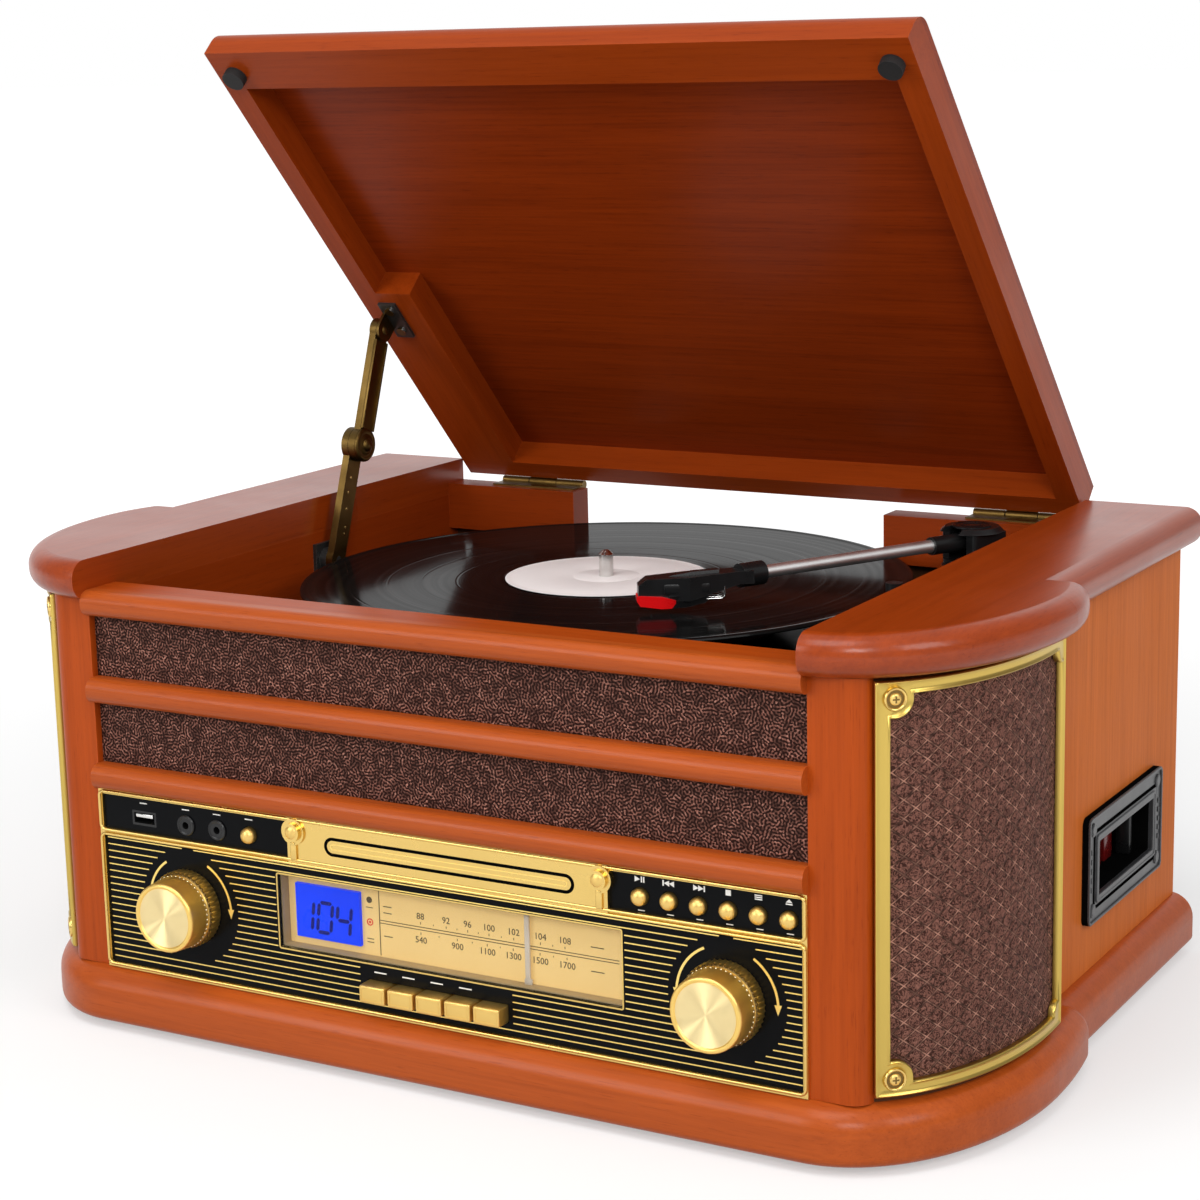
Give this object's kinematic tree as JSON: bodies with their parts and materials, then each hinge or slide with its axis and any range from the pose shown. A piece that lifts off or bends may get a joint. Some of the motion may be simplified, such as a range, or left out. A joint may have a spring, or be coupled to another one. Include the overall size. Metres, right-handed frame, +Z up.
{
  "type": "record player",
  "caption": "Wooden table-top record player with a propped lid, tonearm, radio fascia with dial and knobs, disc drawer, side tape slot and bowed loudspeaker columns.",
  "frame": {"origin": "on the table under the feet, in the middle of the plinth's plan", "axes": "+X to the right seen from the front, +Y to the back, +Z up"},
  "size_m": [0.522, 0.3611, 0.4638],
  "materials": {
    "wood": "satin orange-brown stained veneer",
    "foot_rubber": "soft matt",
    "speaker_cloth": "woven brown",
    "gilt": "satin gilt",
    "brass": "aged satin",
    "black_metal": "semi-gloss",
    "black_plastic": "satin",
    "dial_card": "printed matt",
    "clear": "clear",
    "display_blue": "lit display",
    "inner_grey": "plain",
    "board_green": "bare board",
    "vinyl": "grooved gloss",
    "label_paper": "plain paper",
    "tube_chrome": "polished",
    "stylus_red": "glossy",
    "pointer_white": "plain"
  },
  "bodies": {
    "cabinet": {"base_plinth": "wood", "rubber_feet": "foot_rubber", "side_panels": "wood", "back_panel": "wood", "front_posts": "wood", "top_caps": "wood", "front_rails": "wood", "baffle_boards": "wood", "front_cloths": "speaker_cloth", "grille_cloths": "speaker_cloth", "grille_frames": "gilt", "speaker_drivers": "black_metal", "bay_walls": "wood", "deck_plate": "black_plastic", "fascia_panel": "black_plastic", "fascia_trim": "gilt", "dial_plate": "dial_card", "dial_window": "clear", "lcd_display": "display_blue", "tape_bezel": "black_plastic", "inner_units": "inner_grey", "sockets": "black_plastic", "circuit_boards": "board_green", "cabinet_hinge_fittings": "brass", "drive_motor": "black_metal", "drive_belt": "foot_rubber", "tonearm_base": "black_plastic"},
    "lid": {"lid_panel": "wood", "lid_rails": "wood", "lid_bumpers": "foot_rubber", "lid_hinge_leaves": "brass", "stay_bracket": "black_metal"},
    "stay_upper": {"stay_upper_arm": "brass"},
    "stay_lower": {"stay_lower_arm": "brass"},
    "platter": {"platter_and_spindle": "black_plastic", "vinyl_record": "vinyl", "record_label": "label_paper"},
    "pulley": {"motor_pulley": "brass"},
    "arm_yoke": {"tonearm_yoke": "black_plastic"},
    "tonearm": {"tonearm_root": "black_plastic", "tonearm_tube": "tube_chrome", "headshell": "black_plastic", "stylus_unit": "stylus_red"},
    "speed_lever": {"speed_lever": "black_plastic"},
    "volume_knob": {"volume_knob": "gilt"},
    "tuning_knob": {"tuning_knob": "gilt"},
    "dial_pointer": {"dial_pointer": "pointer_white"},
    "disc_drawer": {"disc_drawer": "gilt"},
    "mode_button": {"mode_button": "gilt"},
    "play_button": {"play_button": "gilt"},
    "skip_back_button": {"skip_back_button": "gilt"},
    "skip_forward_button": {"skip_forward_button": "gilt"},
    "stop_button": {"stop_button": "gilt"},
    "program_button": {"program_button": "gilt"},
    "open_close_button": {"open_close_button": "gilt"},
    "tuner_key": {"tuner_key": "gilt"},
    "disc_key": {"disc_key": "gilt"},
    "tape_key": {"tape_key": "gilt"},
    "phono_key": {"phono_key": "gilt"},
    "power_key": {"power_key": "gilt"}
  },
  "joints": [
    {"name": "lid_hinge", "type": "hinge", "parent": "cabinet", "child": "lid", "pos_m": [0, 0.1702, 0.21635], "axis": [1, 0, 0], "range_deg": [0, 46.6]},
    {"name": "stay_upper_pivot", "type": "hinge", "parent": "lid", "child": "stay_upper", "pos_m": [-0.1724, 0.07171, 0.31039], "axis": [1, 0, 0], "range_deg": [0, 38.89]},
    {"name": "stay_lower_pivot", "type": "hinge", "parent": "cabinet", "child": "stay_lower", "pos_m": [-0.1764, 0.0295, 0.194], "axis": [1, 0, 0], "range_deg": [-79.57, 0]},
    {"name": "platter_spin", "type": "hinge", "parent": "cabinet", "child": "platter", "pos_m": [-0.0126, 0.0285, 0.17], "axis": [0, 0, -1], "continuous": true},
    {"name": "pulley_spin", "type": "hinge", "parent": "cabinet", "child": "pulley", "pos_m": [-0.0886, 0.0285, 0.185], "axis": [0, 0, -1], "continuous": true},
    {"name": "tonearm_swing", "type": "hinge", "parent": "cabinet", "child": "arm_yoke", "pos_m": [0.147, 0.1105, 0.202], "axis": [0, 0, 1], "range_deg": [-12.5, 27.7]},
    {"name": "tonearm_lift", "type": "hinge", "parent": "arm_yoke", "child": "tonearm", "pos_m": [0.147, 0.1105, 0.214], "axis": [-0.8854, 0.4648, 0], "range_deg": [0, 5]},
    {"name": "speed_slide", "type": "slide", "parent": "cabinet", "child": "speed_lever", "axis": [0, 1, 0], "range_m": [0, 0.016]},
    {"name": "volume_turn", "type": "hinge", "parent": "cabinet", "child": "volume_knob", "pos_m": [-0.1338, -0.1573, 0.066], "axis": [0, 1, 0], "range_deg": [-140, 140]},
    {"name": "tuning_turn", "type": "hinge", "parent": "cabinet", "child": "tuning_knob", "pos_m": [0.147, -0.1573, 0.066], "axis": [0, 1, 0], "range_deg": [-700, 350]},
    {"name": "pointer_slide", "type": "slide", "parent": "cabinet", "child": "dial_pointer", "axis": [1, 0, 0], "range_m": [-0.0702, 0.0352]},
    {"name": "drawer_slide", "type": "slide", "parent": "cabinet", "child": "disc_drawer", "axis": [0, -1, 0], "range_m": [0, 0.125]},
    {"name": "mode_press", "type": "slide", "parent": "cabinet", "child": "mode_button", "axis": [0, 1, 0], "range_m": [0, 0.0015], "stiffness_N_per_m": 300},
    {"name": "play_press", "type": "slide", "parent": "cabinet", "child": "play_button", "axis": [0, 1, 0], "range_m": [0, 0.0015], "stiffness_N_per_m": 300},
    {"name": "skip_back_press", "type": "slide", "parent": "cabinet", "child": "skip_back_button", "axis": [0, 1, 0], "range_m": [0, 0.0015], "stiffness_N_per_m": 300},
    {"name": "skip_forward_press", "type": "slide", "parent": "cabinet", "child": "skip_forward_button", "axis": [0, 1, 0], "range_m": [0, 0.0015], "stiffness_N_per_m": 300},
    {"name": "stop_press", "type": "slide", "parent": "cabinet", "child": "stop_button", "axis": [0, 1, 0], "range_m": [0, 0.0015], "stiffness_N_per_m": 300},
    {"name": "program_press", "type": "slide", "parent": "cabinet", "child": "program_button", "axis": [0, 1, 0], "range_m": [0, 0.0015], "stiffness_N_per_m": 300},
    {"name": "open_close_press", "type": "slide", "parent": "cabinet", "child": "open_close_button", "axis": [0, 1, 0], "range_m": [0, 0.0015], "stiffness_N_per_m": 300},
    {"name": "tuner_press", "type": "slide", "parent": "cabinet", "child": "tuner_key", "axis": [0, 1, 0], "range_m": [0, 0.004], "stiffness_N_per_m": 200},
    {"name": "disc_press", "type": "slide", "parent": "cabinet", "child": "disc_key", "axis": [0, 1, 0], "range_m": [0, 0.004], "stiffness_N_per_m": 200},
    {"name": "tape_press", "type": "slide", "parent": "cabinet", "child": "tape_key", "axis": [0, 1, 0], "range_m": [0, 0.004], "stiffness_N_per_m": 200},
    {"name": "phono_press", "type": "slide", "parent": "cabinet", "child": "phono_key", "axis": [0, 1, 0], "range_m": [0, 0.004], "stiffness_N_per_m": 200},
    {"name": "power_press", "type": "slide", "parent": "cabinet", "child": "power_key", "axis": [0, 1, 0], "range_m": [0, 0.004], "stiffness_N_per_m": 200}
  ],
  "couplings": [
    {"joint": "stay_upper_pivot", "follows": "lid_hinge", "ratio": 0.8345},
    {"joint": "stay_lower_pivot", "follows": "lid_hinge", "ratio": -1.7074},
    {"joint": "pulley_spin", "follows": "platter_spin", "ratio": 12},
    {"joint": "pointer_slide", "follows": "tuning_turn", "m_per_rad": 0.0057296}
  ]
}
